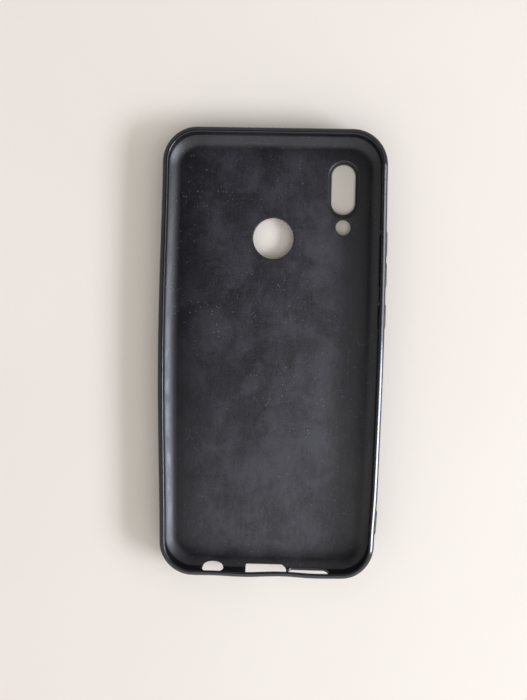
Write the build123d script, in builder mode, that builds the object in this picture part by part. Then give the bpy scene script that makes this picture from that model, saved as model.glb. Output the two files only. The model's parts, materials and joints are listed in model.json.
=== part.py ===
from build123d import *
import os
from math import atan2, degrees

os.makedirs("parts", exist_ok=True)

# A soft phone case, lying on its back with the open side up.
# Origin: centre of the back's outer face. +X to the button side, +Y to the camera end,
# +Z out of the open side. Millimetres.

# The phone that the case is moulded around, and the gap left all round it
PHONE_LENGTH = 148.6
PHONE_WIDTH = 71.2
PHONE_GAP = 0.3

# Shell
WALL = 1.2
WIDTH = PHONE_WIDTH + 2 * (PHONE_GAP + WALL)
LENGTH = PHONE_LENGTH + 2 * (PHONE_GAP + WALL)
HEIGHT = 9.3
CORNER_RADIUS = 11.6
CORNER_LAP = 1.9       # an end wall runs on this far past its corners, along the straight
SIDE_RUN = LENGTH - 2 * (CORNER_RADIUS + CORNER_LAP)
END_RUN = WIDTH - 2 * CORNER_RADIUS

# Section of the wall, measured in from the outline and up from the back
SEAM = 7.0             # where the wall meets the flat back panel
HEEL_RADIUS = 5.2      # outer radius where the back rolls up into the wall
CURL_START = 7.2       # height where the wall starts to lean in
LIP_REACH = 1.95       # how far the lip reaches in over the phone
TIP_RADIUS = 0.5       # half the lip's thickness at its tip
TIP_X = LIP_REACH - TIP_RADIUS
TIP_Z = HEIGHT - TIP_RADIUS
CURL_RISE = TIP_Z - CURL_START
CURL_RADIUS = (TIP_X**2 + CURL_RISE**2 - TIP_RADIUS**2) / (2 * (TIP_X - TIP_RADIUS))
CURL_ANGLE = degrees(atan2(CURL_RISE, CURL_RADIUS - TIP_X))

# Openings in the back panel
SENSOR_CENTRE = (0, 40.3)
SENSOR_RADIUS = 6.9
CAMERA_CENTRE = (23.6, 57.4)
CAMERA_WIDTH = 8.2
CAMERA_LENGTH = 17.0
FLASH_CENTRE = (23.8, 44.5)
FLASH_RADIUS = 2.6
RING_WIDTH = 1.4       # the back is thinner in a ring round the camera opening
RING_DEPTH = 0.4       # how far that ring is sunk below the inner face
RING_LENGTH = CAMERA_LENGTH + 2 * RING_WIDTH
RING_BREADTH = CAMERA_WIDTH + 2 * RING_WIDTH

# Buttons on the right wall, placed along Y
BUTTON_Z = 5.0
BUTTON_HEIGHT = 2.8
BUTTON_PROUD = 0.7     # stands out of the wall
BUTTON_DEPTH = 0.9     # reaches in from the outline
BUTTON_EDGE = 0.45     # rounding of the pressed face
BUTTON_GAP = 0.1       # running gap between a button and its web
BUTTONS = {"volume_up_button": (38.8, 9.0), "volume_down_button": (28.4, 8.8), "power_button": (14.5, 8.8)}
WINDOW_HEIGHT = 3.8
WEB = 0.5              # the wall is thinned to a flexible web behind the buttons
WEBS = {
    "volume_web": (33.6, 20.6, ("volume_up_button", "volume_down_button")),
    "power_web": (14.3, 10.8, ("power_button",)),
}

# Strap boss, low on the right wall
BOSS_Y = -56.7
BOSS_Z = 4.7
BOSS_LENGTH = 8.9
BOSS_HEIGHT = 3.6
BOSS_PROUD = 0.7
BOSS_EDGE = 0.3
STRAP_HOLE_RADIUS = 1.0
STRAP_HOLE_SPACING = 5.0

# Openings in the bottom wall, placed along X
JACK_X = -19.0
JACK_Z = 4.4
JACK_RADIUS = 3.7
JACK_NOTCH = 2.6       # how far the notch reaches in from the outline
USB_X = -0.3
USB_WIDTH = 14.2
USB_TOP = 7.9
USB_NOTCH = 2.1
USB_CORNER = 0.6       # the notch's left corner
USB_SLANT = 1.6        # the notch's right corner is cut off at a slant
USB_TOP_CORNER = 2.0
SPEAKER_X = 14.4
SPEAKER_Z = 5.3
SPEAKER_LENGTH = 14.4
SPEAKER_HEIGHT = 4.3
PORT_DEPTH = 2.6       # the straight part of a port goes this far in, through the wall
NOTCH_TOP = 4.4        # a notch through the heel stops at this height
CLEAR = 1.0            # how far a cutter stands outside the shell


def across(x, y, inward):
    """Plane across the wall at a point of the outline: its x points in and its y points up."""
    return Plane(origin=(x, y, 0), x_dir=inward, z_dir=Vector(*inward).cross(Vector(0, 0, 1)))


def wall_section(plane, thickness=WALL):
    """Section of the wall, from the seam round the heel and up to the lip that curls over."""
    with BuildSketch(plane) as section:
        with BuildLine():
            sole = Line((SEAM, 0), (HEEL_RADIUS, 0))
            heel = JernArc(sole @ 1, sole % 1, HEEL_RADIUS, -90)
            side = Line(heel @ 1, (0, CURL_START))
            curl = JernArc(side @ 1, side % 1, CURL_RADIUS, -CURL_ANGLE)
            tip = JernArc(curl @ 1, curl % 1, TIP_RADIUS, CURL_ANGLE - 270)
            under = JernArc(tip @ 1, tip % 1, TIP_X - thickness, 90)
            inside = Line(under @ 1, (thickness, HEEL_RADIUS))
            inner_heel = JernArc(inside @ 1, inside % 1, HEEL_RADIUS - thickness, 90)
            floor = Line(inner_heel @ 1, (SEAM, thickness))
            Line(floor @ 1, (SEAM, 0))
        make_face()
    return section.sketch


def side_wall(side):
    """Straight long wall; side is +1 on the right and -1 on the left."""
    with BuildPart() as wall:
        plane = across(side * WIDTH / 2, -side * SIDE_RUN / 2, (-side, 0, 0))
        extrude(wall_section(plane), amount=SIDE_RUN)
    return wall.part


def end_wall(end):
    """Short wall with its two corners; end is +1 at the camera end and -1 at the port end."""
    with BuildPart() as wall:
        plane = across(end * END_RUN / 2, end * LENGTH / 2, (0, -end, 0))
        extrude(wall_section(plane), amount=END_RUN)
        for side in (-1, 1):
            plane = across(side * END_RUN / 2, end * LENGTH / 2, (0, -end, 0))
            corner = end * (LENGTH / 2 - CORNER_RADIUS)
            centre = (side * END_RUN / 2, corner, 0)
            revolve(wall_section(plane), axis=Axis(centre, (0, 0, -end * side)), revolution_arc=90)
            lap_plane = across(side * WIDTH / 2, corner, (-side, 0, 0))
            extrude(wall_section(lap_plane), amount=-end * side * CORNER_LAP)
    return wall.part


def slot_through_right_wall(y, z, length, height, mode=Mode.SUBTRACT):
    """Cut or keep a round-ended slot that goes straight through the right wall."""
    with BuildSketch(Plane.YZ.offset(WIDTH / 2 - SEAM / 2)) as slot:
        with Locations((y, z)):
            SlotOverall(length, height)
    extrude(slot.sketch, amount=SEAM / 2 + CLEAR + BOSS_PROUD, mode=mode)


def strap_holes():
    """Cut the pair of strap holes through the right wall and its boss."""
    with BuildSketch(Plane.YZ.offset(WIDTH / 2 - SEAM / 2)) as holes:
        with Locations((BOSS_Y, BOSS_Z)):
            with GridLocations(STRAP_HOLE_SPACING, 1, 2, 1):
                Circle(STRAP_HOLE_RADIUS)
    extrude(holes.sketch, amount=SEAM / 2 + CLEAR + BOSS_PROUD, mode=Mode.SUBTRACT)


def save(part, name):
    part.label = name
    export_step(part, f"parts/{name}.step")


# Back panel, with the sensor, camera and flash openings
with BuildPart() as back_panel:
    with BuildSketch():
        RectangleRounded(WIDTH - 2 * SEAM, LENGTH - 2 * SEAM, CORNER_RADIUS - SEAM)
        with Locations(SENSOR_CENTRE):
            Circle(SENSOR_RADIUS, mode=Mode.SUBTRACT)
        with Locations(CAMERA_CENTRE):
            SlotOverall(RING_LENGTH, RING_BREADTH, rotation=90, mode=Mode.SUBTRACT)
        with Locations(FLASH_CENTRE):
            Circle(FLASH_RADIUS, mode=Mode.SUBTRACT)
    extrude(amount=WALL)
save(back_panel.part, "back_panel")

# Camera ring, the thinner stretch of the back round the camera opening, flush on the outside
with BuildPart() as camera_ring:
    with BuildSketch():
        with Locations(CAMERA_CENTRE):
            SlotOverall(RING_LENGTH, RING_BREADTH, rotation=90)
            SlotOverall(CAMERA_LENGTH, CAMERA_WIDTH, rotation=90, mode=Mode.SUBTRACT)
    extrude(amount=WALL - RING_DEPTH)
save(camera_ring.part, "camera_ring")

# Left wall
with BuildPart() as left_wall:
    add(side_wall(-1))
save(left_wall.part, "left_wall")

# Right wall, with a window behind each set of buttons and the strap holes
with BuildPart() as right_wall:
    add(side_wall(1))
    for window_y, window_length, _ in WEBS.values():
        slot_through_right_wall(window_y, BUTTON_Z, window_length, WINDOW_HEIGHT)
    strap_holes()
save(right_wall.part, "right_wall")

# Top wall, with its two corners
with BuildPart() as top_wall:
    add(end_wall(1))
save(top_wall.part, "top_wall")

# Bottom wall, with its two corners and the headphone, USB and speaker openings
with BuildPart() as bottom_wall:
    add(end_wall(-1))
    with BuildSketch(Plane.XY.offset(-CLEAR)) as notches:
        with Locations((USB_X, -LENGTH / 2)):
            Rectangle(USB_WIDTH, 2 * USB_NOTCH)
        left_corner, right_corner = notches.vertices().group_by(Axis.Y)[-1].sort_by(Axis.X)
        fillet(left_corner, USB_CORNER)
        chamfer(right_corner, USB_SLANT)
        with Locations((JACK_X, -LENGTH / 2)):
            Ellipse(JACK_RADIUS, JACK_NOTCH)
    extrude(amount=NOTCH_TOP + CLEAR, mode=Mode.SUBTRACT)
    with BuildSketch(Plane.XZ.offset(LENGTH / 2 + CLEAR)):
        with Locations((JACK_X, JACK_Z)):
            Circle(JACK_RADIUS)
        with Locations((USB_X, NOTCH_TOP)):
            RectangleRounded(USB_WIDTH, 2 * (USB_TOP - NOTCH_TOP), USB_TOP_CORNER)
        with Locations((SPEAKER_X, SPEAKER_Z)):
            SlotOverall(SPEAKER_LENGTH, SPEAKER_HEIGHT)
    extrude(amount=-PORT_DEPTH - CLEAR, mode=Mode.SUBTRACT)
save(bottom_wall.part, "bottom_wall")

# Webs, the thinned wall that closes each window and bends as its buttons are pressed
for web_name, (web_y, web_length, web_buttons) in WEBS.items():
    with BuildPart() as web:
        extrude(wall_section(across(WIDTH / 2, web_y - web_length / 2, (-1, 0, 0)), WEB), amount=web_length)
        slot_through_right_wall(web_y, BUTTON_Z, web_length, WINDOW_HEIGHT, Mode.INTERSECT)
        for button_name in web_buttons:
            button_y, button_length = BUTTONS[button_name]
            slot_through_right_wall(
                button_y, BUTTON_Z, button_length + 2 * BUTTON_GAP, BUTTON_HEIGHT + 2 * BUTTON_GAP
            )
    save(web.part, web_name)

# Buttons, raised pads that are pressed in through the web onto the phone's own keys
for button_name, (button_y, button_length) in BUTTONS.items():
    with BuildPart() as button:
        with BuildSketch(Plane.YZ.offset(WIDTH / 2 - BUTTON_DEPTH)):
            with Locations((button_y, BUTTON_Z)):
                SlotOverall(button_length, BUTTON_HEIGHT)
        extrude(amount=BUTTON_DEPTH + BUTTON_PROUD)
        fillet(button.edges().group_by(Axis.X)[-1], BUTTON_EDGE)
    save(button.part, button_name)

# Strap boss, seated on the outside of the right wall round the strap holes
with BuildPart() as strap_boss:
    with BuildSketch(Plane.YZ.offset(WIDTH / 2 - WALL)):
        with Locations((BOSS_Y, BOSS_Z)):
            SlotOverall(BOSS_LENGTH, BOSS_HEIGHT)
    extrude(amount=WALL + BOSS_PROUD)
    fillet(strap_boss.edges().group_by(Axis.X)[-1], BOSS_EDGE)
    add(side_wall(1), mode=Mode.SUBTRACT)
    strap_holes()
save(strap_boss.part, "strap_boss")
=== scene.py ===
import json
import math

import bmesh
import bpy
import numpy as np
from mathutils import Matrix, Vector
from mathutils.geometry import delaunay_2d_cdt


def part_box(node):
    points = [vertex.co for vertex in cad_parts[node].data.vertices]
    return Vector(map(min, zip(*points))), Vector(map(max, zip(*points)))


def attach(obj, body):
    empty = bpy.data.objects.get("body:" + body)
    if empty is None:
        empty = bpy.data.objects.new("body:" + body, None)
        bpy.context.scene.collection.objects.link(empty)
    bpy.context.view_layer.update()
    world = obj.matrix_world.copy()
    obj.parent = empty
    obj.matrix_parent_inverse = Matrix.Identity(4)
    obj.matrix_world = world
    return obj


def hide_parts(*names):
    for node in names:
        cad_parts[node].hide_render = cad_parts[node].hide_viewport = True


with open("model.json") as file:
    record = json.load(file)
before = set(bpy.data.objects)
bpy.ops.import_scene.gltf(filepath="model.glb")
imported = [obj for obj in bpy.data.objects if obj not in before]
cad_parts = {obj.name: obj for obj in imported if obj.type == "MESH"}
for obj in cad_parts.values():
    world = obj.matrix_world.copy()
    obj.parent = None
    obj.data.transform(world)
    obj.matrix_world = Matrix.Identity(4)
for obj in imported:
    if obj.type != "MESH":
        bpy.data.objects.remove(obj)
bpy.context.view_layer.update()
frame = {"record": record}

# A soft black phone case lying on its back. Shapes are worked out in millimetres, and become metres in
# Builder.piece()
MM = 0.001


# ------------ sizes, from the frame

def node_box(name):
    low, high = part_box(name)
    return np.array(low) / MM, np.array(high) / MM


def mount(name):
    return next(m for m in frame["record"]["mounts"] if m["name"] == name)


HALF_WIDTH, HALF_LENGTH, HEIGHT = node_box("top_wall")[1]
PANEL_LOW, PANEL_HIGH = node_box("back_panel")
WALL = PANEL_HIGH[2]
SEAM = HALF_WIDTH - PANEL_HIGH[0]  # from the outline in to the flat back panel
SIDE_HALF = node_box("left_wall")[1][1]  # half the length of a side wall
CORNER_RADIUS = 11.6
CORNER_LAP = HALF_LENGTH - CORNER_RADIUS - SIDE_HALF
END_HALF = HALF_WIDTH - CORNER_RADIUS

# Section of the wall. It follows the CAD's to within 0.3 mm. Its rim turns tightly, then along a flatter
# stretch that catches the light, and its inner heel does the same between two bends, from the wall down to
# the floor. Turns are in degrees
HEEL_RADIUS = 5.2
LIP_REACH = 1.95
TIP_RADIUS = 0.5
CURL_TURN, RIM_TURN = 58.0, 10.0
RIM_RADIUS = 5.2
HEEL_TURNS = (45.0, 16.0, 29.0)
HEEL_TIGHT, HEEL_FLAT = 1.0, 9.0


def cosd(angle):
    return math.cos(math.radians(angle))


def sind(angle):
    return math.sin(math.radians(angle))


RIM_END = CURL_TURN + RIM_TURN
CURL_RADIUS = (
    LIP_REACH - RIM_RADIUS * (cosd(CURL_TURN) - cosd(RIM_END)) - TIP_RADIUS * (1 + cosd(RIM_END))
) / (1 - cosd(CURL_TURN))
CURL_START = (
    HEIGHT - CURL_RADIUS * sind(CURL_TURN) - RIM_RADIUS * (sind(RIM_END) - sind(CURL_TURN))
    - TIP_RADIUS * (1 - sind(RIM_END))
)
UNDER_RADIUS = LIP_REACH - TIP_RADIUS - WALL
INSIDE_TOP = HEIGHT - 2 * TIP_RADIUS - UNDER_RADIUS
HEEL_MIDDLE = HEEL_TURNS[0] + HEEL_TURNS[1]
HEEL_LAST = (
    HEEL_RADIUS - WALL - HEEL_TIGHT * (1 - cosd(HEEL_TURNS[0]))
    - HEEL_FLAT * (cosd(HEEL_TURNS[0]) - cosd(HEEL_MIDDLE))
) / cosd(HEEL_MIDDLE)
HEEL_TOP = (
    WALL + HEEL_TIGHT * sind(HEEL_TURNS[0]) + HEEL_FLAT * (sind(HEEL_MIDDLE) - sind(HEEL_TURNS[0]))
    + HEEL_LAST * (1 - sind(HEEL_MIDDLE))
)

# Each move of the section from the seam under the back, up, over the lip and back down inside:
# (length, 0) is a straight line and (radius, turn in degrees) an arc
SECTION_MOVES = [
    (SEAM - HEEL_RADIUS, 0),
    (HEEL_RADIUS, -90),
    (CURL_START - HEEL_RADIUS, 0),
    (CURL_RADIUS, -CURL_TURN),
    (RIM_RADIUS, -RIM_TURN),
    (TIP_RADIUS, RIM_END - 270),
    (UNDER_RADIUS, 90),
    (INSIDE_TOP - HEEL_TOP, 0),
    (HEEL_TIGHT, HEEL_TURNS[0]),
    (HEEL_FLAT, HEEL_TURNS[1]),
    (HEEL_LAST, HEEL_TURNS[2]),
    (SEAM - HEEL_RADIUS, 0),
]
OUTER_MOVES = 5  # the moves before the tip
ARC_STEP = 7.0  # degrees between the section's points on an arc
TIP_STEP = 16.0
LINE_STEP = 0.7  # millimetres between them on a straight

EDGE = 0.28  # rounding of the openings' edges
SMALL_EDGE = 0.18
PORT_EDGE = 0.12
RING_STEPS = 4
# No point of a sheet lies closer than this to its border, or to an opening in a wall or a small part
BORDER_MARGIN = 0.05
WALL_MARGIN, FINE_MARGIN = 0.3, 0.2


# ------------ the wall's section

def follow_section(moves):
    """(distance along, start point, heading, size, turn) of every move, and the whole length."""
    rows, along, point, heading = [], 0.0, np.array([SEAM, 0.0]), math.pi
    for size, turn in moves:
        rows.append((along, point, heading, size, math.radians(turn)))
        if turn == 0:
            along += size
            point = point + size * np.array([math.cos(heading), math.sin(heading)])
        else:
            side = math.copysign(1, turn)
            centre = point + side * size * np.array([-math.sin(heading), math.cos(heading)])
            heading += math.radians(turn)
            along += size * abs(math.radians(turn))
            point = centre - side * size * np.array([-math.sin(heading), math.cos(heading)])
    return rows, along


SECTION_ROWS, SECTION_LENGTH = follow_section(SECTION_MOVES)
OUTER_END = SECTION_ROWS[OUTER_MOVES][0]
INNER_START = SECTION_ROWS[OUTER_MOVES + 1][0]


def section_at(s):
    """Distance in from the outline, height, and the heading, at distances s along the section."""
    s = np.asarray(s, float)
    depth, height, heading = np.zeros_like(s), np.zeros_like(s), np.zeros_like(s)
    for start, point, angle, size, turn in SECTION_ROWS:
        here = s >= start - 1e-9
        run = s[here] - start
        if turn == 0:
            depth[here] = point[0] + run * math.cos(angle)
            height[here] = point[1] + run * math.sin(angle)
            heading[here] = angle
        else:
            side = math.copysign(1, turn)
            now = angle + side * run / size
            depth[here] = point[0] - side * size * math.sin(angle) + side * size * np.sin(now)
            height[here] = point[1] + side * size * math.cos(angle) - side * size * np.cos(now)
            heading[here] = now
    return depth, height, heading


def section_samples():
    """Distances along the section of its points, close together on the small arcs."""
    samples = [0.0]
    for index, (start, _, _, size, turn) in enumerate(SECTION_ROWS):
        step = TIP_STEP if index == OUTER_MOVES else ARC_STEP
        length = size * abs(turn) if turn else size
        count = math.ceil(math.degrees(abs(turn)) / step) if turn else math.ceil(length / LINE_STEP)
        samples += [start + length * (i + 1) / count for i in range(count)]
    return np.array(samples)


SAMPLES = section_samples()
FINE = np.linspace(0, SECTION_LENGTH, 4001)
FINE_DEPTH, FINE_HEIGHT, _ = section_at(FINE)
OUTER = FINE <= OUTER_END
INNER = FINE >= INNER_START


def outer_at_height(z):
    return np.interp(z, FINE_HEIGHT[OUTER], FINE[OUTER])


def inner_at_height(z):
    return np.interp(-np.asarray(z), -FINE_HEIGHT[INNER], FINE[INNER])


def outer_at_depth(d):
    heel = OUTER & (FINE_HEIGHT <= HEEL_RADIUS)
    return np.interp(-np.asarray(d), -FINE_DEPTH[heel], FINE[heel])


def inner_at_depth(d):
    heel = INNER & (FINE_HEIGHT <= HEEL_RADIUS)
    return np.interp(d, FINE_DEPTH[heel], FINE[heel])


# ------------ how the soft case lies

# How far each long wall bellies out, where on Y, and half the length that it takes
BOW_LEFT = (-1.12, 0.0, 67.0)
BOW_RIGHT = (0.72, 8.0, 75.0)
BOW_MARGIN = 11.0  # what lies closer to a wall than this moves with it
BOW_AT_FOOT, BOW_FULL_HEIGHT = 0.65, 6.0  # the share of it at the table, and where it is whole
LEAN_IN = 0.55  # the lower right corner leans in by this much
LEAN_START, LEAN_END = -44.0, -66.0
WAVE = 0.28  # height of the wave along the strip over the ports
WAVE_LENGTH = 28.0
WAVE_CREST = -9.0  # where on X the strip stands furthest out
WAVE_MIDDLE, WAVE_HALF = 3.0, 26.0
WAVE_DEPTHS, WAVE_HEIGHTS = (6.0, 2.0), (2.0, 7.0)  # the wave grows between these, out and up
PANEL_ARCH = 2.2  # how far the middle of the back stands off the table
ARCH_MARGIN = 3.0  # the arch starts this far in from the outline
ARCH_POWER = 1.5


def smooth(x, low, high):
    t = np.clip((x - low) / (high - low), 0, 1)
    return t * t * (3 - 2 * t)


def flex(points):
    """Where each point of the straight moulding lies once the soft case has settled."""
    p = np.array(points, float)
    x, y, z = p[..., 0].copy(), p[..., 1].copy(), p[..., 2].copy()
    by_height = BOW_AT_FOOT + (1 - BOW_AT_FOOT) * np.sin(math.pi / 2 * np.clip(z / BOW_FULL_HEIGHT, 0, 1))
    wall = smooth(np.abs(x), HALF_WIDTH - BOW_MARGIN, HALF_WIDTH) * by_height
    for side, (amount, centre, half) in ((x < 0, BOW_LEFT), (x >= 0, BOW_RIGHT)):
        belly = np.clip(1 - ((y - centre) / half) ** 2, 0, 1) ** 2
        p[..., 0] += np.where(side, amount * belly * wall, 0)
    p[..., 0] -= np.where(x > 0, LEAN_IN * smooth(-y, -LEAN_START, -LEAN_END) * wall, 0)
    strip = smooth(-y, HALF_LENGTH - WAVE_DEPTHS[0], HALF_LENGTH - WAVE_DEPTHS[1]) * smooth(z, *WAVE_HEIGHTS)
    strip *= np.clip(1 - ((x - WAVE_MIDDLE) / WAVE_HALF) ** 2, 0, 1)
    p[..., 1] -= WAVE * np.cos(2 * math.pi * (x - WAVE_CREST) / WAVE_LENGTH) * strip
    across = np.clip(1 - (x / (HALF_WIDTH - ARCH_MARGIN)) ** 2, 0, 1)
    along = np.clip(1 - (y / (HALF_LENGTH - ARCH_MARGIN)) ** 4, 0, 1)
    p[..., 2] += PANEL_ARCH * (across * along) ** ARCH_POWER
    return p


# ------------ surfaces over (u, s)

def side_base(side):
    """The outline of a side wall: u runs along Y."""
    def base(u):
        u = np.asarray(u, float)
        point = np.stack([np.full_like(u, side * HALF_WIDTH), u], -1)
        inward = np.stack([np.full_like(u, -side), np.zeros_like(u)], -1)
        return point, inward
    return base


CORNER_ARC = CORNER_RADIUS * math.pi / 2
END_U = END_HALF + CORNER_ARC + CORNER_LAP


def end_base(end):
    """The outline of an end wall: u is 0 at the middle and runs to +X, round the corner and down the lap."""
    def base(u):
        u = np.asarray(u, float)
        away = np.abs(u)
        side = np.where(u < 0, -1.0, 1.0)
        turned = np.clip((away - END_HALF) / CORNER_RADIUS, 0, math.pi / 2)
        lap = np.clip(away - END_HALF - CORNER_ARC, 0, None)
        out_x, out_y = np.sin(turned), np.cos(turned)
        x = np.minimum(away, END_HALF) + CORNER_RADIUS * out_x
        y = HALF_LENGTH - CORNER_RADIUS + CORNER_RADIUS * out_y - lap
        return np.stack([side * x, end * y], -1), np.stack([-side * out_x, -end * out_y], -1)
    return base


def wall_surface(base, inset=0.0):
    """Maps (u, s) onto the wall's skin; inset is how far it lies under that skin."""
    def surface(uv):
        uv = np.asarray(uv, float)
        point, inward = base(uv[:, 0])
        depth, height, heading = section_at(uv[:, 1])
        depth = depth + inset * np.sin(heading)
        height = height - inset * np.cos(heading)
        flat = point + inward * depth[:, None]
        return flex(np.column_stack([flat, height]))
    return surface


def flat_surface(z):
    """Maps (x, y) onto a face of the back panel."""
    def surface(xy):
        xy = np.asarray(xy, float)
        return flex(np.column_stack([xy, np.full(len(xy), z)]))
    return surface


def side_surface(x):
    """Maps (y, z) onto a plane that faces along +X."""
    def surface(yz):
        yz = np.asarray(yz, float)
        return flex(np.column_stack([np.full(len(yz), x), yz]))
    return surface


def surface_normals(surface, uv, step=0.01):
    uv = np.asarray(uv, float)
    du = surface(uv + [step, 0]) - surface(uv - [step, 0])
    dv = surface(uv + [0, step]) - surface(uv - [0, step])
    n = np.cross(du, dv)
    return n / np.linalg.norm(n, axis=1)[:, None]


# ------------ outlines of openings

def obround(centre, length, width, along=0, step=0.42):
    """Round-ended slot as (points, outward normals); its length runs along axis 0 or 1."""
    r, run = width / 2, (length - width) / 2
    arc = max(10, math.ceil(math.pi * r / step))
    straight = math.ceil(2 * run / (2 * step)) if run > 0 else 0
    points, normals = [], []
    for end in (1, -1):
        for i in range(arc + 1 if run > 0 else arc):
            a = (-math.pi / 2 + math.pi * i / arc) + (0 if end > 0 else math.pi)
            points.append((end * run + r * math.cos(a), r * math.sin(a)))
            normals.append((math.cos(a), math.sin(a)))
        for i in range(1, straight):
            points.append((end * (run - 2 * run * i / straight), end * r))
            normals.append((0, end))
    points, normals = np.array(points), np.array(normals)
    if along == 1:
        points, normals = points[:, ::-1], normals[:, ::-1]
    return points + np.array(centre), normals


def loop_normals(points):
    """Outward unit normals of a closed outline."""
    ahead = np.roll(points, -1, 0) - np.roll(points, 1, 0)
    n = np.column_stack([ahead[:, 1], -ahead[:, 0]])
    n /= np.linalg.norm(n, axis=1)[:, None] + 1e-12
    area = np.sum(points[:, 0] * np.roll(points[:, 1], -1) - np.roll(points[:, 0], -1) * points[:, 1])
    return n * math.copysign(1, area)


def inside_loop(points, loop):
    """Which points lie inside a closed outline."""
    x, y = points[:, 0][:, None], points[:, 1][:, None]
    x1, y1 = loop[:, 0], loop[:, 1]
    x2, y2 = np.roll(x1, -1), np.roll(y1, -1)
    crosses = (y1 > y) != (y2 > y)
    with np.errstate(divide="ignore", invalid="ignore"):
        at = (x2 - x1) * (y - y1) / (y2 - y1) + x1
    return (np.sum(crosses & (x < at), axis=1) % 2) == 1


def near_loop(points, loop, distance):
    """Which points lie closer to a closed outline than distance."""
    a, b = loop, np.roll(loop, -1, 0)
    ab = b - a
    t = np.clip(np.sum((points[:, None] - a) * ab, -1) / (np.sum(ab * ab, -1) + 1e-12), 0, 1)
    gap = np.linalg.norm(points[:, None] - (a + t[..., None] * ab), axis=-1)
    return gap.min(1) < distance


# ------------ mesh building

# Each vertex tells how far it belongs to the matte inner skin: 0 is the glossy outer skin
UNSET = -1.0
EDGE_SHARE = 0.8  # for the edges of openings

WELD, SLIVER = 2e-6, 2e-7  # metres
CREASE = 38  # degrees between faces that meet at a sharp edge


def inside_share(s):
    """The share of the inner skin at distances s along the section."""
    return smooth(s, OUTER_END + TIP_RADIUS, INNER_START + UNDER_RADIUS)


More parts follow.
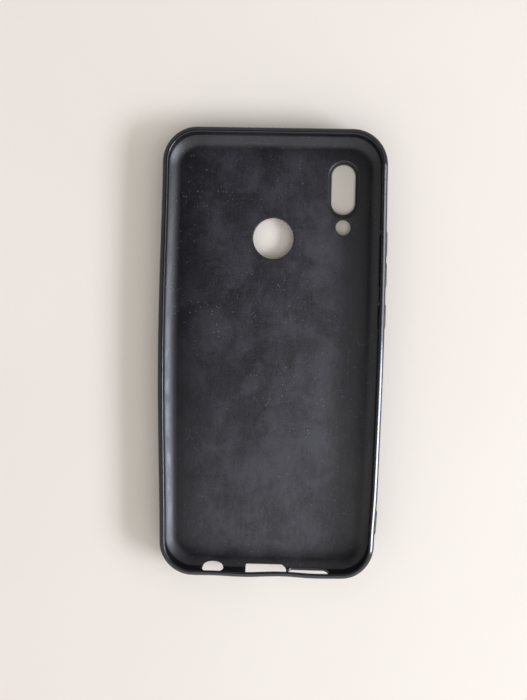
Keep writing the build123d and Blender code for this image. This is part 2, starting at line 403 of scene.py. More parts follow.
class Builder:
    """Collects the faces of one piece, welds them and makes the object."""

    def __init__(self):
        self.points, self.normals, self.inside, self.faces, self.kept = [], [], [], [], []

    def add_points(self, points, normals=None, inside=None):
        start = len(self.points)
        self.points += [tuple(p) for p in points]
        self.normals += [tuple(n) for n in normals] if normals is not None else [(0, 0, 0)] * len(points)
        self.inside += list(np.broadcast_to(UNSET if inside is None else inside, len(points)))
        return start

    def add_face(self, corners, keep_normals):
        self.faces.append(tuple(int(c) for c in corners))
        self.kept.append(keep_normals)

    def grid(self, surface, us, ss):
        """A plain sheet of quads over (u, s)."""
        uv = np.array([(u, s) for u in us for s in ss])
        start = self.add_points(surface(uv), surface_normals(surface, uv), inside_share(uv[:, 1]))
        width = len(ss)
        for i in range(len(us) - 1):
            for j in range(width - 1):
                a = start + i * width + j
                self.add_face((a, a + width, a + width + 1, a + 1), True)

    def holed(self, surface, border, inner_points, loops, margin, inside=None):
        """A sheet of triangles inside border, with the loops left open."""
        points = np.asarray(inner_points, float)
        keep = inside_loop(points, border) & ~near_loop(points, border, BORDER_MARGIN)
        for loop in loops:
            keep &= ~inside_loop(points, loop) & ~near_loop(points, loop, margin)
        points = points[keep]
        rows, edges = [], []
        for loop in [border, *loops]:
            first = len(rows)
            rows += [tuple(p) for p in loop]
            edges += [(first + i, first + (i + 1) % len(loop)) for i in range(len(loop))]
        rows += [tuple(p) for p in points]
        made = delaunay_2d_cdt([tuple(map(float, r)) for r in rows], edges, [], 0, 1e-7)
        uv, faces = np.array([tuple(v) for v in made[0]]), made[2]
        middles = np.array([uv[list(f)].mean(0) for f in faces])
        open_here = ~inside_loop(middles, border)
        for loop in loops:
            open_here |= inside_loop(middles, loop)
        inside = inside_share(uv[:, 1]) if inside is None else inside
        start = self.add_points(surface(uv), surface_normals(surface, uv), inside)
        for face, gone in zip(faces, open_here):
            if not gone:
                self.add_face([start + i for i in face], True)

    def rings(self, loops, closed=True, keep_normals=False, normals=None, inside=None):
        """Joins loops of equal length, each to the next; normals holds those of each loop's points."""
        count = len(loops[0])
        starts = [
            self.add_points(loop, None if normals is None else normals[i], inside)
            for i, loop in enumerate(loops)
        ]
        for a, b in zip(starts, starts[1:]):
            for i in range(count if closed else count - 1):
                j = (i + 1) % count
                self.add_face((a + i, a + j, b + j, b + i), keep_normals)

    def cap(self, loop):
        """One face over a loop."""
        start = self.add_points(loop)
        self.add_face(range(start, start + len(loop)), False)

    def opening(self, outer, outer_loop, inner, inner_loop, outer_edge, inner_edge):
        """The wall of an opening between two skins, with rounded edges; returns its outline on each."""
        wide_outer = outer_loop + loop_normals(outer_loop) * outer_edge
        wide_inner = inner_loop + loop_normals(inner_loop) * inner_edge
        sharp_outer, sharp_inner = outer(outer_loop), inner(inner_loop)
        through = sharp_inner - sharp_outer
        through /= np.linalg.norm(through, axis=1)[:, None]
        loops = rounded(outer(wide_outer), sharp_outer, through, outer_edge)
        loops += rounded(inner(wide_inner), sharp_inner, -through, inner_edge)[::-1]
        self.rings(loops)
        return wide_outer, wide_inner

    def piece(self, name, body, nodes, material):
        """Welds the faces and makes the object."""
        bm = bmesh.new()
        layer = bm.verts.layers.float_vector.new("skin_normal")
        share = bm.verts.layers.float.new("inside")
        kept = bm.faces.layers.int.new("kept")
        verts = [bm.verts.new(np.array(p) * MM) for p in self.points]
        for v, n, inside in zip(verts, self.normals, self.inside):
            v[layer] = n
            v[share] = inside
        for corners, keep in zip(self.faces, self.kept):
            if len(set(corners)) < 3:
                continue
            face = bm.faces.new([verts[c] for c in corners])
            face[kept] = int(keep)
            face.smooth = True
        weld_skin(bm, layer, share)
        bmesh.ops.dissolve_degenerate(bm, dist=SLIVER, edges=bm.edges)
        bmesh.ops.recalc_face_normals(bm, faces=bm.faces)
        loose = [e for e in bm.edges if len(e.link_faces) != 2]
        if loose:
            print(f"{name}: {len(loose)} edges don't join two faces")
        mesh = bpy.data.meshes.new(name)
        corner_normals = []
        for face in bm.faces:
            for loop in face.loops:
                n = loop.vert[layer]
                if not face[kept] or n.length < 0.5:
                    n = (0, 0, 0)
                elif n.dot(face.normal) <= 0:
                    n = -n
                corner_normals.append(tuple(n))
        bm.to_mesh(mesh)
        bm.free()
        mesh.set_sharp_from_angle(angle=math.radians(CREASE))
        mesh.normals_split_custom_set(corner_normals)
        obj = bpy.data.objects.new(name, mesh)
        bpy.context.scene.collection.objects.link(obj)
        mesh.materials.append(material)
        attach(obj, body)
        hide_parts(*nodes)


def weld_skin(bm, layer, share):
    """Joins points that lie together, and keeps the skin's normal and share where one of them has it."""
    found = bmesh.ops.find_doubles(bm, verts=bm.verts, dist=WELD)["targetmap"]
    for gone, stays in found.items():
        if stays[layer].length < 0.5 and gone[layer].length > 0.5:
            stays[layer] = gone[layer].copy()
        stays[share] = max(stays[share], gone[share])
    bmesh.ops.weld_verts(bm, targetmap=found)
    for v in bm.verts:
        if v[share] < 0:
            v[share] = EDGE_SHARE


def rounded(on_skin, sharp, through, radius):
    """Rings from the skin round an edge and onto the wall of an opening."""
    if radius == 0:
        return [sharp]
    away = (on_skin - sharp) / radius
    rings = []
    for i in range(RING_STEPS + 1):
        a = math.pi / 2 * i / RING_STEPS
        rings.append(sharp + radius * (away * (1 - math.sin(a)) + through * (1 - math.cos(a))))
    return rings


def points_between(low, high, steps):
    """A regular grid of points from low up to high."""
    first, second = (np.arange(low[k], high[k], steps[k]) for k in (0, 1))
    return [(a, b) for a in first for b in second]


def spread(breaks, steps):
    """Evenly spaced values from each break to the next, at about the step given for that stretch."""
    values = [breaks[0]]
    for low, high, step in zip(breaks, breaks[1:], steps):
        count = max(1, math.ceil((high - low) / step))
        values += [low + (high - low) * (i + 1) / count for i in range(count)]
    return np.array(values)


# ------------ materials

class Graph:
    """Builds the nodes of a material, where places are object coordinates in metres, or of the world."""

    def __init__(self, owner, shader="Principled BSDF", place="Object"):
        owner.use_nodes = True
        self.owner, self.tree = owner, owner.node_tree
        self.shader = self.tree.nodes[shader]
        self.place = self.node("ShaderNodeTexCoord").outputs[place]

    def node(self, kind, inputs=(), **settings):
        node = self.tree.nodes.new(kind)
        for key, value in settings.items():
            setattr(node, key, value)
        for key, value in dict(inputs).items():
            self.put(node.inputs[key], value)
        return node

    def put(self, socket, value):
        if isinstance(value, bpy.types.NodeSocket):
            self.tree.links.new(value, socket)
        else:
            socket.default_value = value

    def math(self, operation, *values):
        node = self.node("ShaderNodeMath", operation=operation)
        for socket, value in zip(node.inputs, values):
            self.put(socket, value)
        return node.outputs[0]

    def stretched(self, turn, scale, shift=(0, 0, 0)):
        """Places turned by so many degrees about each axis, then stretched."""
        turned = self.node("ShaderNodeMapping", {
            "Vector": self.place, "Rotation": [math.radians(a) for a in turn], "Location": shift,
        })
        return self.node("ShaderNodeMapping", {"Vector": turned.outputs[0], "Scale": scale}).outputs[0]

    def noise(self, scale, detail=2.0, roughness=0.5, distortion=0.0, place=None):
        return self.node("ShaderNodeTexNoise", {
            "Vector": place or self.place, "Scale": scale, "Detail": detail,
            "Roughness": roughness, "Distortion": distortion,
        }).outputs["Fac"]

    def between(self, value, low, high, out_low=0.0, out_high=1.0):
        """The value's place between low and high, clamped, as one between the two outputs."""
        return self.node("ShaderNodeMapRange", {
            "Value": value, "From Min": low, "From Max": high, "To Min": out_low, "To Max": out_high,
        }, interpolation_type="SMOOTHSTEP").outputs["Result"]

    def lines(self, scale, width, distortion=0.0, place=None):
        """Thin curved lines, where a noise passes its middle."""
        noise = self.noise(scale, 0.0, 0.5, distortion, place)
        off_middle = self.math("ABSOLUTE", self.math("SUBTRACT", noise, 0.5))
        return self.between(off_middle, 0.0, width, 1.0, 0.0)

    def specks(self, scale, radius, chance):
        """Round specks, one in some of the cells; chance is the share of cells that hold one."""
        cells = self.node("ShaderNodeTexVoronoi", {"Vector": self.place, "Scale": scale})
        parts = self.node("ShaderNodeSeparateColor", {"Color": cells.outputs["Color"]})
        size = self.between(parts.outputs["Green"], 0.0, 1.0, 0.35 * radius, radius)
        spot = self.math("LESS_THAN", cells.outputs["Distance"], size)
        return self.math("MULTIPLY", spot, self.math("LESS_THAN", parts.outputs["Red"], chance))

    def mix(self, share, first, second):
        """A mix of two colours; share is that of the second."""
        node = self.node("ShaderNodeMix", data_type="RGBA")
        self.put(node.inputs["Factor"], share)
        self.put(node.inputs[6], first)
        self.put(node.inputs[7], second)
        return node.outputs[2]

    def add(self, first, *others):
        for other in others:
            first = self.math("ADD", first, other)
        return first

    def times(self, first, *others):
        for other in others:
            first = self.math("MULTIPLY", first, other)
        return first

    def bump(self, height, distance, strength=1.0):
        node = self.node("ShaderNodeBump", {"Height": height, "Distance": distance, "Strength": strength})
        return node.outputs["Normal"]


def rgba(r, g, b):
    return (r, g, b, 1.0)


# Shiny, worn and marked plastic. Distances in materials are in metres
DARK, WORN = rgba(0.0035, 0.0035, 0.0055), rgba(0.046, 0.045, 0.060)
MARKED, EDGE_WORN, DUST = rgba(0.10, 0.10, 0.115), rgba(0.05, 0.05, 0.058), rgba(0.26, 0.26, 0.28)
GLOSS, MATTE = 0.09, 0.38  # roughness of the outer and the inner skin
TPU_IOR = 1.6
TPU_SPECULAR = rgba(0.9, 0.93, 1.0)
TPU_RELIEF, PAD_RELIEF, PAPER_RELIEF = 0.00003, 0.00002, 0.00002
EDGE_BAND = 0.9  # millimetres down from the rim that its wear reaches

# Where the phone has rubbed the inner skin, and painted light and shade: whole within the first distance from
# the middle and nearly gone by the second, across and along, so darker by the walls, and painted lighter
# towards the ports than towards the camera
RUB_AND_LIGHT_X, RUB_AND_LIGHT_Y, PAINTED_LIGHT_TOWARDS_PORTS = (0.017, 0.033), (0.066, 0.0735), (-0.066, 0.045)


def tpu(name, rub_and_light_share=1.0):
    """Soft black plastic: a glossy outer skin, and a matte inner one, rubbed in the middle by the phone, and
    painted lighter there and towards the ports and darker by the walls.
    """
    g = Graph(bpy.data.materials.new(name))
    inside = g.node("ShaderNodeAttribute", attribute_name="inside").outputs["Fac"]
    parts = g.node("ShaderNodeSeparateXYZ", {"Vector": g.place}).outputs
    # Painted light and shade besides the phone's rub: the base colour is lightened in the middle and towards
    # the ports, and stays darker by the walls
    middle = g.times(
        g.between(g.math("ABSOLUTE", parts["X"]), *RUB_AND_LIGHT_X, 1.0, 0.10),
        g.between(g.math("ABSOLUTE", parts["Y"]), *RUB_AND_LIGHT_Y, 1.0, 0.35),
        g.between(parts["Y"], *PAINTED_LIGHT_TOWARDS_PORTS, 1.4, 1.05),
        rub_and_light_share,
    )
    smudges = g.between(g.noise(85, 4.0, 0.66, 0.4), 0.38, 0.66)
    clouds = g.between(g.noise(26, 3.0, 0.5, 0.8), 0.38, 0.64)
    grain = g.noise(2300, 2.0, 0.6)
    fine_grain = g.noise(8800, 1.0, 0.5)
    wiped = g.between(g.noise(1.0, 2.0, 0.5, 0.5, g.stretched((0, 0, 4), (900, 190, 600))), 0.4, 0.68)
    rubs = g.times(
        g.between(g.noise(1.0, 3.0, 0.6, 0.3, g.stretched((0, 0, 38), (200, 1900, 700))), 0.58, 0.76),
        g.between(g.noise(44, 2.0), 0.48, 0.66),
    )
    other_way = g.stretched((0, 0, -61), (190, 2100, 700), (0.3, 0, 0))
    crossing = g.times(
        g.between(g.noise(1.0, 3.0, 0.6, 0.2, other_way), 0.6, 0.78), g.between(g.noise(37, 2.0), 0.5, 0.68)
    )
    hairlines = g.times(
        g.lines(1.0, 0.0018, 0.3, g.stretched((0, 20, 64), (52, 20, 52))),
        g.between(g.noise(52, 1.0), 0.53, 0.62),
    )
    dusty_here = g.between(g.noise(48, 3.0, 0.6), 0.4, 0.64, 0.1, 1.0)
    dust = g.times(g.math("MAXIMUM", g.specks(600, 0.13, 0.2), g.specks(1250, 0.2, 0.3)), dusty_here)
    marks = g.math("MINIMUM", g.add(g.times(rubs, 0.6), g.times(crossing, 0.45), hairlines), 1.0)
    worn_edge = g.times(
        g.between(parts["Z"], (HEIGHT - EDGE_BAND) * MM, HEIGHT * MM),
        g.between(g.noise(240, 3.0), 0.42, 0.68),
    )

    worn = g.add(
        g.times(smudges, 0.34), g.times(clouds, 0.22), g.times(wiped, 0.16),
        g.times(g.between(grain, 0.32, 0.68), 0.32),
    )
    colour = g.mix(g.times(worn, middle, g.between(inside, 0, 1, 0.22, 1.0)), DARK, WORN)
    colour = g.mix(g.times(marks, g.between(inside, 0, 1, 0.1, 0.3)), colour, MARKED)
    colour = g.mix(g.times(worn_edge, 0.12), colour, EDGE_WORN)
    colour = g.mix(g.times(dust, g.between(inside, 0, 1, 0.1, 0.6)), colour, DUST)
    g.put(g.shader.inputs["Base Color"], colour)

    outer_roughness = g.add(GLOSS, g.times(smudges, 0.05), g.times(marks, 0.1), g.times(worn_edge, 0.03))
    inner_roughness = g.add(
        MATTE, g.times(smudges, 0.1), g.times(clouds, -0.05), g.times(wiped, -0.04), g.times(marks, -0.08),
        g.times(dust, 0.3),
    )
    shift = g.math("SUBTRACT", inner_roughness, outer_roughness)
    g.put(g.shader.inputs["Roughness"], g.add(outer_roughness, g.times(shift, inside)))

    relief = g.add(
        g.times(grain, g.between(inside, 0, 1, 0.06, 1.0)),
        g.times(fine_grain, g.between(inside, 0, 1, 0.05, 0.4)),
        g.times(marks, -0.4), g.times(smudges, 0.25), g.times(dust, 0.5),
    )
    g.put(g.shader.inputs["Normal"], g.bump(relief, TPU_RELIEF))
    g.shader.inputs["IOR"].default_value = TPU_IOR
    g.shader.inputs["Specular Tint"].default_value = TPU_SPECULAR
    return g.owner


PAD_DARK, PAD_WORN = rgba(0.009, 0.009, 0.011), rgba(0.024, 0.024, 0.028)
PAD_RUBBED, PAD_DUST = rgba(0.035, 0.035, 0.04), rgba(0.3, 0.3, 0.31)
PAD_FACE = 0.6  # millimetres out of the wall where a pad is rubbed in full


def worn_pads(name):
    """The buttons: satin, with a face rubbed smoother by fingers."""
    g = Graph(bpy.data.materials.new(name))
    smudges = g.between(g.noise(150, 3.0, 0.6, 0.3), 0.35, 0.68)
    grain = g.noise(4200, 2.0, 0.6)
    strokes = g.between(g.noise(1.0, 3.0, 0.6, 0.2, g.stretched((12, 0, 0), (900, 160, 1500))), 0.55, 0.75)
    out = g.node("ShaderNodeSeparateXYZ", {"Vector": g.place}).outputs["X"]
    face = g.between(out, HALF_WIDTH * MM, (HALF_WIDTH + PAD_FACE) * MM)
    rubbed = g.times(face, g.between(g.noise(420, 3.0, 0.6), 0.35, 0.62))
    worn = g.add(g.times(smudges, 0.5), g.times(g.between(grain, 0.35, 0.65), 0.25), g.times(strokes, 0.2))
    colour = g.mix(worn, PAD_DARK, PAD_WORN)
    colour = g.mix(g.times(rubbed, 0.3), colour, PAD_RUBBED)
    colour = g.mix(g.times(g.specks(1100, 0.2, 0.08), 0.6), colour, PAD_DUST)
    g.put(g.shader.inputs["Base Color"], colour)
    roughness = g.add(0.3, g.times(smudges, 0.1), g.times(rubbed, -0.05), g.times(strokes, 0.06))
    g.put(g.shader.inputs["Roughness"], roughness)
    relief = g.add(g.times(grain, 0.5), g.times(strokes, -0.3), g.times(smudges, 0.25))
    g.put(g.shader.inputs["Normal"], g.bump(relief, PAD_RELIEF))
    return g.owner


PAPER_LOW, PAPER_HIGH = rgba(0.865, 0.82, 0.77), rgba(0.895, 0.853, 0.806)


def paper(name):
    """The pale surface under the case."""
    g = Graph(bpy.data.materials.new(name))
    wash = g.between(g.noise(9, 3.0, 0.5, 0.4), 0.3, 0.7)
    fibre = g.noise(1500, 3.0, 0.65)
    colour = g.mix(g.add(g.times(wash, 0.7), g.times(fibre, 0.3)), PAPER_LOW, PAPER_HIGH)
    g.put(g.shader.inputs["Base Color"], colour)
    g.put(g.shader.inputs["Roughness"], g.between(fibre, 0.3, 0.7, 0.8, 0.95))
    g.put(g.shader.inputs["Normal"], g.bump(fibre, PAPER_RELIEF, 0.6))
    return g.owner


shell_material = tpu("shell_tpu")
panel_material = tpu("panel_tpu")
# The camera ring takes only 0.15 of the lightening in the middle, so it is painted darker than the panel:
# painted shade in its sunken ring
ring_material = tpu("ring_tpu", 0.15)
button_material = worn_pads("button_tpu")


# ------------ walls

# Millimetres between a wall's stations: on its plain stretches, by its openings and round the corners
WALL_STEP = 1.6
HOLE_STEP = 0.8
CORNER_STEP = 0.95


def wall_ends(builder, surface, us):
    """Closes a wall along the seam and at its two ends."""
    seam_under = surface([(u, 0.0) for u in us])
    seam_inside = surface([(u, SECTION_LENGTH) for u in us])
    builder.rings([seam_under, seam_inside], closed=False)
    for u in (us[0], us[-1]):
        builder.cap(surface([(u, s) for s in SAMPLES]))


def holed_stretch(builder, surface, us, loops):
    """The stretch of a wall that holds openings, over its whole section."""
    low, high = us[0], us[-1]
    border = [(u, 0.0) for u in us[:-1]] + [(high, s) for s in SAMPLES[:-1]]
    border += [(u, SECTION_LENGTH) for u in us[:0:-1]] + [(low, s) for s in SAMPLES[:0:-1]]
    inner_points = [(u, s) for u in us[1:-1] for s in SAMPLES[1:-1]]
    builder.holed(surface, np.array(border), inner_points, loops, WALL_MARGIN)


def stretches(us, breaks):
    """Splits the wall's stations at the given values."""
    cuts = [int(np.argmin(np.abs(us - b))) for b in breaks]
    return [us[a:b + 1] for a, b in zip([0, *cuts], [*cuts, len(us) - 1])]


def plain_wall(node, surface, us):
    """A wall without openings."""
    wall = Builder()
    wall.grid(surface, us, SAMPLES)
    wall_ends(wall, surface, us)
    wall.piece(f"{node}_skin", "shell", [node], shell_material)


left_us = spread([-SIDE_HALF, SIDE_HALF], [WALL_STEP])
plain_wall("left_wall", wall_surface(side_base(-1)), left_us)

end_breaks = [-END_U, -END_HALF - CORNER_ARC, -END_HALF, END_HALF, END_HALF + CORNER_ARC, END_U]
top_us = spread(end_breaks, [WALL_STEP, CORNER_STEP, WALL_STEP, CORNER_STEP, WALL_STEP])
plain_wall("top_wall", wall_surface(end_base(1)), top_us)


# Right wall: windows behind the buttons and the strap holes

def on_wall(outline, at_height):
    """An outline in (y, z) as one in (u, s) on the outer or the inner skin."""
    return np.column_stack([outline[:, 0], at_height(outline[:, 1])])


def node_obround(name, grow=0.0):
    """The round-ended outline of a button or web, from its CAD node."""
    low, high = node_box(name)
    centre = (low[1:] + high[1:]) / 2
    length, height = high[1:] - low[1:]
    return obround(centre, length + 2 * grow, height + 2 * grow)[0]


strap = mount("strap_holes")
STRAP_Y, STRAP_Z = strap["pos_m"][1] / MM, strap["pos_m"][2] / MM
STRAP_SPACING = 5.0
STRAP_RADIUS = 1.0
STRAP_GAP = 0.05  # the wall's holes clear the boss's by this much


def strap_circles(radius):
    return [
        obround((STRAP_Y + side * STRAP_SPACING / 2, STRAP_Z), 2 * radius, 2 * radius, step=0.3)[0]
        for side in (-1, 1)
    ]


WINDOW_MARGIN, STRAP_MARGIN = 1.5, 5.0  # the finer stretches of the wall run this far past their openings
window_low = node_box("power_web")[0][1] - WINDOW_MARGIN
window_high = node_box("volume_web")[1][1] + WINDOW_MARGIN
strap_low, strap_high = STRAP_Y - STRAP_MARGIN, STRAP_Y + STRAP_MARGIN
right_breaks = [-SIDE_HALF, strap_low, strap_high, window_low, window_high, SIDE_HALF]
right_us = spread(right_breaks, [WALL_STEP, HOLE_STEP, WALL_STEP, HOLE_STEP, WALL_STEP])
right_surface = wall_surface(side_base(1))
right = Builder()
below, strap_us, between, window_us, above = stretches(right_us, right_breaks[1:-1])
for plain in (below, between, above):
    right.grid(right_surface, plain, SAMPLES)
for outlines, us, inner_edge in (
    ([node_obround(web) for web in ("volume_web", "power_web")], window_us, EDGE),
    (strap_circles(STRAP_RADIUS + STRAP_GAP), strap_us, SMALL_EDGE),
):
    opened = []
    for outline in outlines:
        outer_loop, inner_loop = on_wall(outline, outer_at_height), on_wall(outline, inner_at_height)
        opened += right.opening(right_surface, outer_loop, right_surface, inner_loop, 0, inner_edge)
    holed_stretch(right, right_surface, us, opened)
wall_ends(right, right_surface, right_us)
right.piece("right_wall_skin", "shell", ["right_wall"], shell_material)


# Bottom wall: headphone, USB and speaker openings

PORT_MIDDLE = 4.4  # height where an opening's notch ends and its straight part starts
PORT_STEPS = 14  # rows of points in each of those halves
JACK_RADIUS, JACK_NOTCH = 3.7, 2.6
USB_WIDTH, USB_NOTCH, USB_TOP = 14.2, 2.1, 7.9
USB_CORNER, USB_SLANT, USB_TOP_CORNER = 0.6, 1.6, 2.0
SPEAKER_MIDDLE, SPEAKER_LENGTH, SPEAKER_HEIGHT = 5.3, 14.4, 4.3
CAP_STEP = 0.5  # millimetres between the points across its ends


def port(centre, low, middle, top, half_widths):
    """Outlines of a port on the outer and inner skins; low is its lower end's place on each."""
    middle, high = level(middle), level(top)
    t = np.sin(np.linspace(-math.pi / 2, math.pi / 2, 2 * PORT_STEPS + 1))
    on_outer, on_inner = (np.interp(t, [-1, 0, 1], [low[k], middle[k], high[k]]) for k in (0, 1))
    depth, height, _ = section_at(on_outer)
    widths = np.array([half_widths(d, z, lower) for d, z, lower in zip(depth, height, t < 0)])
    left, right = centre - widths[:, 0], centre + widths[:, 1]
    last = len(t) - 1
    rows = [(x, i) for i, x in enumerate(right)] + cap_points(right[last], left[last], last)
    rows += [(left[i], i) for i in range(last, -1, -1)] + cap_points(left[0], right[0], 0)
    rows = [
        row for row, before in zip(rows, [rows[-1], *rows])
        if row[1] != before[1] or abs(row[0] - before[0]) > 1e-6
    ]
    x, index = np.array([r[0] for r in rows]), [r[1] for r in rows]
    return np.column_stack([x, on_outer[index]]), np.column_stack([x, on_inner[index]])


def cap_points(start, end, index):
    """Points between the two sides of a port, at one of its ends."""
    count = math.ceil(abs(end - start) / CAP_STEP)
    return [(start + (end - start) * k / count, index) for k in range(1, count)]


def jack_half_widths(depth, height, lower):
    share = depth / JACK_NOTCH if lower else (height - PORT_MIDDLE) / JACK_RADIUS
    half = JACK_RADIUS * math.sqrt(max(0.0, 1 - share**2))
    return half, half


def rounded_in(radius, edge):
    """How far a rounded corner is drawn in, at a distance from the edge it meets."""
    left = radius - min(radius, max(0.0, edge))
    return radius - math.sqrt(radius**2 - left**2)


def usb_half_widths(depth, height, lower):
    if lower:
        left = rounded_in(USB_CORNER, USB_NOTCH - depth)
        right = max(0.0, USB_SLANT - (USB_NOTCH - depth))
    else:
        left = right = rounded_in(USB_TOP_CORNER, USB_TOP - height)
    return USB_WIDTH / 2 - left, USB_WIDTH / 2 - right


def speaker_half_widths(_depth, height, _lower):
    r = SPEAKER_HEIGHT / 2
    half = SPEAKER_LENGTH / 2 - r + math.sqrt(max(0.0, r**2 - (height - SPEAKER_MIDDLE) ** 2))
    return half, half


def notch(depth):
    return outer_at_depth(depth), inner_at_depth(depth)


def level(height):
    return outer_at_height(height), inner_at_height(height)


def mount_x(name):
    return mount(name)["pos_m"][0] / MM


PORT_HALF = 25.0  # the ports lie within this of the middle
bottom_steps = [WALL_STEP, CORNER_STEP, WALL_STEP, HOLE_STEP, WALL_STEP, CORNER_STEP, WALL_STEP]
bottom_us = spread([*end_breaks[:3], -PORT_HALF, PORT_HALF, *end_breaks[3:]], bottom_steps)
bottom_surface = wall_surface(end_base(-1))
ports = [
    port(
        mount_x("headphone_opening"), notch(JACK_NOTCH), PORT_MIDDLE, PORT_MIDDLE + JACK_RADIUS,
        jack_half_widths,
    ),
    port(mount_x("usb_opening"), notch(USB_NOTCH), PORT_MIDDLE, USB_TOP, usb_half_widths),
    port(
        mount_x("speaker_opening"), level(SPEAKER_MIDDLE - SPEAKER_HEIGHT / 2), SPEAKER_MIDDLE,
        SPEAKER_MIDDLE + SPEAKER_HEIGHT / 2, speaker_half_widths,
    ),
]
bottom = Builder()
corner_left, port_us, corner_right = stretches(bottom_us, [-PORT_HALF, PORT_HALF])
bottom.grid(bottom_surface, corner_left, SAMPLES)
bottom.grid(bottom_surface, corner_right, SAMPLES)
port_loops = []
for outer_loop, inner_loop in ports:
    port_loops += bottom.opening(bottom_surface, outer_loop, bottom_surface, inner_loop, PORT_EDGE, PORT_EDGE)
holed_stretch(bottom, bottom_surface, port_us, port_loops)
wall_ends(bottom, bottom_surface, bottom_us)
bottom.piece("bottom_wall_skin", "shell", ["bottom_wall"], shell_material)


# ------------ back panel and camera ring

def seam_outline(base, us):
    point, inward = base(us)
    return point + inward * SEAM


PANEL_STEP = 2.2
PANEL_MARGIN = 0.7  # no point of its sheets lies closer to an opening
RING_WIDTH = 1.4
RING_RISE = 0.75  # the ring's outer part, which rises to the panel's inner face
ring_low, ring_high = node_box("camera_ring")
RING_FLOOR = ring_high[2]
camera_centre = ((ring_low + ring_high) / 2)[:2]
camera_width, camera_length = (ring_high - ring_low)[:2] - 2 * RING_WIDTH


def camera_outline(grow):
    """The camera opening's outline, moved out by grow."""
    points, normals = obround(camera_centre, camera_length, camera_width, along=1)
    return points + normals * grow


def round_mount(name):
    spot = mount(name)
    radius = spot["dims"]["r_mm"]
    return obround(np.array(spot["pos_m"][:2]) / MM, 2 * radius, 2 * radius, step=0.5)[0]


seam = np.vstack([
    seam_outline(side_base(1), right_us)[:-1],
    seam_outline(end_base(1), top_us[::-1])[:-1],
    seam_outline(side_base(-1), left_us[::-1])[:-1],
    seam_outline(end_base(-1), bottom_us)[:-1],
])
panel_points = points_between(PANEL_LOW[:2] + PANEL_STEP / 2, PANEL_HIGH[:2], (PANEL_STEP, PANEL_STEP))
inside_face, under_face = flat_surface(WALL), flat_surface(0.0)
panel = Builder()
inside_loops, under_loops = [], []
for name, edge in (("sensor_window", EDGE), ("flash_window", SMALL_EDGE)):
    outline = round_mount(name)
    wide_under, wide_inside = panel.opening(under_face, outline, inside_face, outline, edge, edge)
    under_loops.append(wide_under)
    inside_loops.append(wide_inside)

ring_outline = camera_outline(RING_WIDTH)
inside_loops.append(ring_outline)
under_loops.append(ring_outline)
panel.rings([under_face(ring_outline), inside_face(ring_outline)])
panel.holed(inside_face, seam, panel_points, inside_loops, margin=PANEL_MARGIN, inside=1.0)
panel.holed(under_face, seam, panel_points, under_loops, margin=PANEL_MARGIN, inside=0.0)
panel.rings([under_face(seam), inside_face(seam)])
panel.piece("back_panel_skin", "shell", ["back_panel"], panel_material)

# The ring: up round the camera opening, over its edge, along the sunken floor and up to the panel
ring_rows = [(0.0, 0.0), (0.0, RING_FLOOR - EDGE)]
ring_rows += [
    (EDGE * (1 - math.cos(a)), RING_FLOOR - EDGE * (1 - math.sin(a))) for a in np.radians([30, 60, 90])
]
ring_rows += [
    (RING_WIDTH - RING_RISE * (1 - t), RING_FLOOR + (WALL - RING_FLOOR) * smooth(t, 0, 1))
    for t in np.linspace(0, 1, 8)
]
ring_loops = [flat_surface(z)(camera_outline(grow)) for grow, z in ring_rows]
ring_normals = [np.zeros_like(loop) for loop in ring_loops]
ring_normals[-1] = surface_normals(inside_face, ring_outline)
ring = Builder()
ring.rings(ring_loops, keep_normals=True, normals=ring_normals, inside=1.0)
ring.rings([ring_loops[-1], under_face(ring_outline), ring_loops[0]])
ring.piece("camera_ring_skin", "shell", ["camera_ring"], ring_material)


# ------------ webs, buttons and strap boss

BUTTON_GAP = 0.1
WEB = 0.5  # thickness of the flexible webs
SMALL_GRID = 0.5  # millimetres between points up a web or the boss
BOSS_GRID = 0.6  # and along the boss
WEB_START, BOSS_START = (0.4, 0.3), (0.5, 0.3)  # how far in the first of them lies
web_inside = wall_surface(side_base(1), inset=WEB)
BUTTON_NAMES = {"volume_web": ("volume_up_button", "volume_down_button"), "power_web": ("power_button",)}
for web, buttons in BUTTON_NAMES.items():
    border = on_wall(node_obround(web), outer_at_height)
    holes = [on_wall(node_obround(button, BUTTON_GAP), outer_at_height) for button in buttons]
    low, high = border.min(0), border.max(0)
    inner_points = points_between(low + WEB_START, high, (HOLE_STEP, SMALL_GRID))
    skin = Builder()
    skin.holed(right_surface, border, inner_points, holes, margin=FINE_MARGIN, inside=0.0)
    skin.holed(web_inside, border, inner_points, holes, margin=FINE_MARGIN, inside=1.0)
    for loop in [border, *holes]:
        skin.rings([right_surface(loop), web_inside(loop)])
    skin.piece(f"{web}_skin", "shell", [web], shell_material)


def grown(outline, amount):
    return outline + loop_normals(outline) * amount


def pad_rings(outline, rows):
    """Rings of a raised pad; each row is (x, how far its outline is drawn in)."""
    return [side_surface(x)(grown(outline, -drawn_in)) for x, drawn_in in rows]


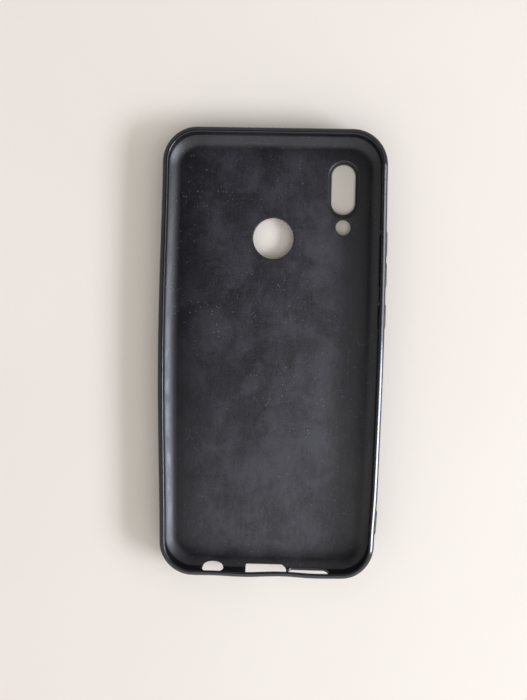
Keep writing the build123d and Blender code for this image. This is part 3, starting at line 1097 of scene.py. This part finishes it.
BUTTON_FOOT = ((0.0, 0.3), (0.1, 0.08), (0.3, 0.0))  # (x over its inner end, how far it is drawn in)
BUTTON_EDGE = 0.5
BUTTON_CROWN = 0.06
CROWN_HALF = 0.25  # half the width of the crown's flat top
for button in (name for names in BUTTON_NAMES.values() for name in names):
    low, high = node_box(button)
    top_x = high[0] - BUTTON_CROWN
    rows = [(low[0] + x, drawn_in) for x, drawn_in in BUTTON_FOOT]
    rows += [
        (top_x - BUTTON_EDGE * (1 - math.sin(a)), BUTTON_EDGE * (1 - math.cos(a)))
        for a in np.radians([0, 18, 36, 54, 72, 90])
    ]
    half = (high[2] - low[2]) / 2
    rows += [
        (top_x + BUTTON_CROWN * (1 - (1 - t) ** 2), BUTTON_EDGE + (half - CROWN_HALF - BUTTON_EDGE) * t)
        for t in (0.35, 0.7, 1.0)
    ]
    pad = Builder()
    loops = pad_rings(node_obround(button), rows)
    pad.rings(loops)
    pad.cap(loops[0])
    pad.cap(loops[-1])
    pad.piece(f"{button}_pad", button.replace("_button", ""), [button], button_material)

BOSS_EDGE = 0.3
BOSS_FOOT = 0.3  # the boss spreads by this much where it meets the wall
BOSS_FLARE = ((0.0, BOSS_FOOT), (0.08, 0.1), (0.26, 0.0))  # (height over the wall, how far it spreads)
BOSS_ROOT = 0.7  # and starts this far under the wall's skin
boss_low, boss_high = node_box("strap_boss")
boss_outline = node_obround("strap_boss")


def boss_ring(height, grow):
    """A ring round the boss, at a height over the wall's curved skin."""
    outline = grown(boss_outline, grow)
    depth = np.interp(outline[:, 1], FINE_HEIGHT[OUTER], FINE_DEPTH[OUTER])
    return flex(np.column_stack([HALF_WIDTH - depth + height, outline]))


root_face, boss_face = side_surface(HALF_WIDTH - BOSS_ROOT), side_surface(boss_high[0])
boss_foot = grown(boss_outline, BOSS_FOOT)
loops = [root_face(boss_foot), *(boss_ring(height, grow) for height, grow in BOSS_FLARE)]
loops += pad_rings(boss_outline, [
    (boss_high[0] - BOSS_EDGE * (1 - math.sin(a)), BOSS_EDGE * (1 - math.cos(a)))
    for a in np.radians([0, 30, 60, 90])
])
boss = Builder()
boss.rings(loops)
circles = strap_circles(STRAP_RADIUS)
hole_loops = [boss.opening(boss_face, circle, root_face, circle, SMALL_EDGE, 0) for circle in circles]
boss_points = points_between(boss_low[1:] + BOSS_START, boss_high[1:], (BOSS_GRID, SMALL_GRID))
boss_top = grown(boss_outline, -BOSS_EDGE)
boss.holed(boss_face, boss_top, boss_points, [h[0] for h in hole_loops], margin=FINE_MARGIN, inside=0.0)
boss.holed(root_face, boss_foot, boss_points, [h[1] for h in hole_loops], margin=FINE_MARGIN, inside=1.0)
boss.piece("strap_boss_pad", "shell", ["strap_boss"], shell_material)


# ------------ floor, light and camera

FLOOR_HALF, FLOOR_Z = 3.0, -0.02 * MM
corners = [(x * FLOOR_HALF, y * FLOOR_HALF, FLOOR_Z) for x, y in ((-1, -1), (1, -1), (1, 1), (-1, 1))]
floor_mesh = bpy.data.meshes.new("floor")
floor_mesh.from_pydata(corners, [], [(0, 1, 2, 3)])
floor_mesh.materials.append(paper("floor_paper"))
floor = bpy.data.objects.new("floor", floor_mesh)
bpy.context.scene.collection.objects.link(floor)

ROOM_COLOUR = rgba(1.0, 0.965, 0.915)
DARK_SPOT = (-0.24, 0.24, 0.94)  # someone leans over the case, so it is darker straight above
SPOT_EDGES = (cosd(42), cosd(14))
ROOM_BRIGHTNESS, SPOT_BRIGHTNESS = 0.75, 0.05
BRIGHT_SIDE = (0.3, -0.92, 0.25)
SIDE_EDGES = (-0.2, 1.0)  # cosines of the angle to it that the change lies between
FAR_SIDE, NEAR_SIDE = 0.84, 1.55  # brightness away from it and towards it
world = bpy.data.worlds.new("studio")
bpy.context.scene.world = world
sky = Graph(world, "Background", "Generated")
sky.put(sky.shader.inputs["Color"], ROOM_COLOUR)


def sky_facing(direction):
    """The cosine of the angle to a direction."""
    return sky.node(
        "ShaderNodeVectorMath", {0: sky.place, 1: direction}, operation="DOT_PRODUCT"
    ).outputs["Value"]


sky.put(sky.shader.inputs["Strength"], sky.times(
    sky.between(sky_facing(DARK_SPOT), *SPOT_EDGES, ROOM_BRIGHTNESS, SPOT_BRIGHTNESS),
    sky.between(sky_facing(BRIGHT_SIDE), *SIDE_EDGES, FAR_SIDE, NEAR_SIDE),
))


def look_axes(away):
    """Axes of a light that looks back along away."""
    right = np.cross([0, 0, 1], away)
    right /= np.linalg.norm(right)
    return np.column_stack([right, np.cross(away, right), away])


LIGHT_DISTANCE, LIGHT_HEIGHT = 1.2, 0.27  # metres
LIGHT_ELEVATION = 26.0


def area_light(name, azimuth, width, power, colour):
    """A soft light that faces the case; azimuth is counted in degrees from +X towards +Y."""
    data = bpy.data.lights.new(name, "AREA")
    data.shape, data.size, data.size_y = "RECTANGLE", width, LIGHT_HEIGHT
    data.energy, data.color = power, colour
    light = bpy.data.objects.new(name, data)
    a, e = math.radians(azimuth), math.radians(LIGHT_ELEVATION)
    away = np.array([math.cos(a) * math.cos(e), math.sin(a) * math.cos(e), math.sin(e)])
    light.matrix_world = Matrix.Translation(away * LIGHT_DISTANCE) @ Matrix(
        np.vstack([np.column_stack([look_axes(away), [0, 0, 0]]), [0, 0, 0, 1]]).tolist()
    )
    bpy.context.scene.collection.objects.link(light)


area_light("window", -18, 0.55, 10.8, (0.94, 0.965, 1.06))
area_light("curtain", 8, 0.4, 1.9, (0.97, 0.97, 1.04))

# Millimetres, and degrees about X, Y and Z. The camera looks down into the case
CAMERA_PLACE = (0.55, 16.05, 216.3)
CAMERA_TILT, CAMERA_SWAY, CAMERA_ROLL = -3.71, 0.93, 1.19
SENSOR_WIDTH, LENS = 36.0, 31.8857
camera_data = bpy.data.cameras.new("camera")
camera_data.sensor_width, camera_data.lens = SENSOR_WIDTH, LENS
camera_data.clip_start = 0.01
camera = bpy.data.objects.new("camera", camera_data)
camera.matrix_world = (
    Matrix.Translation([c * MM for c in CAMERA_PLACE])
    @ Matrix.Rotation(math.radians(CAMERA_ROLL), 4, "Z")
    @ Matrix.Rotation(math.radians(CAMERA_TILT), 4, "X")
    @ Matrix.Rotation(math.radians(CAMERA_SWAY), 4, "Y")
)
bpy.context.scene.collection.objects.link(camera)
bpy.context.scene.camera = camera
bpy.context.scene.view_settings.view_transform = "Standard"
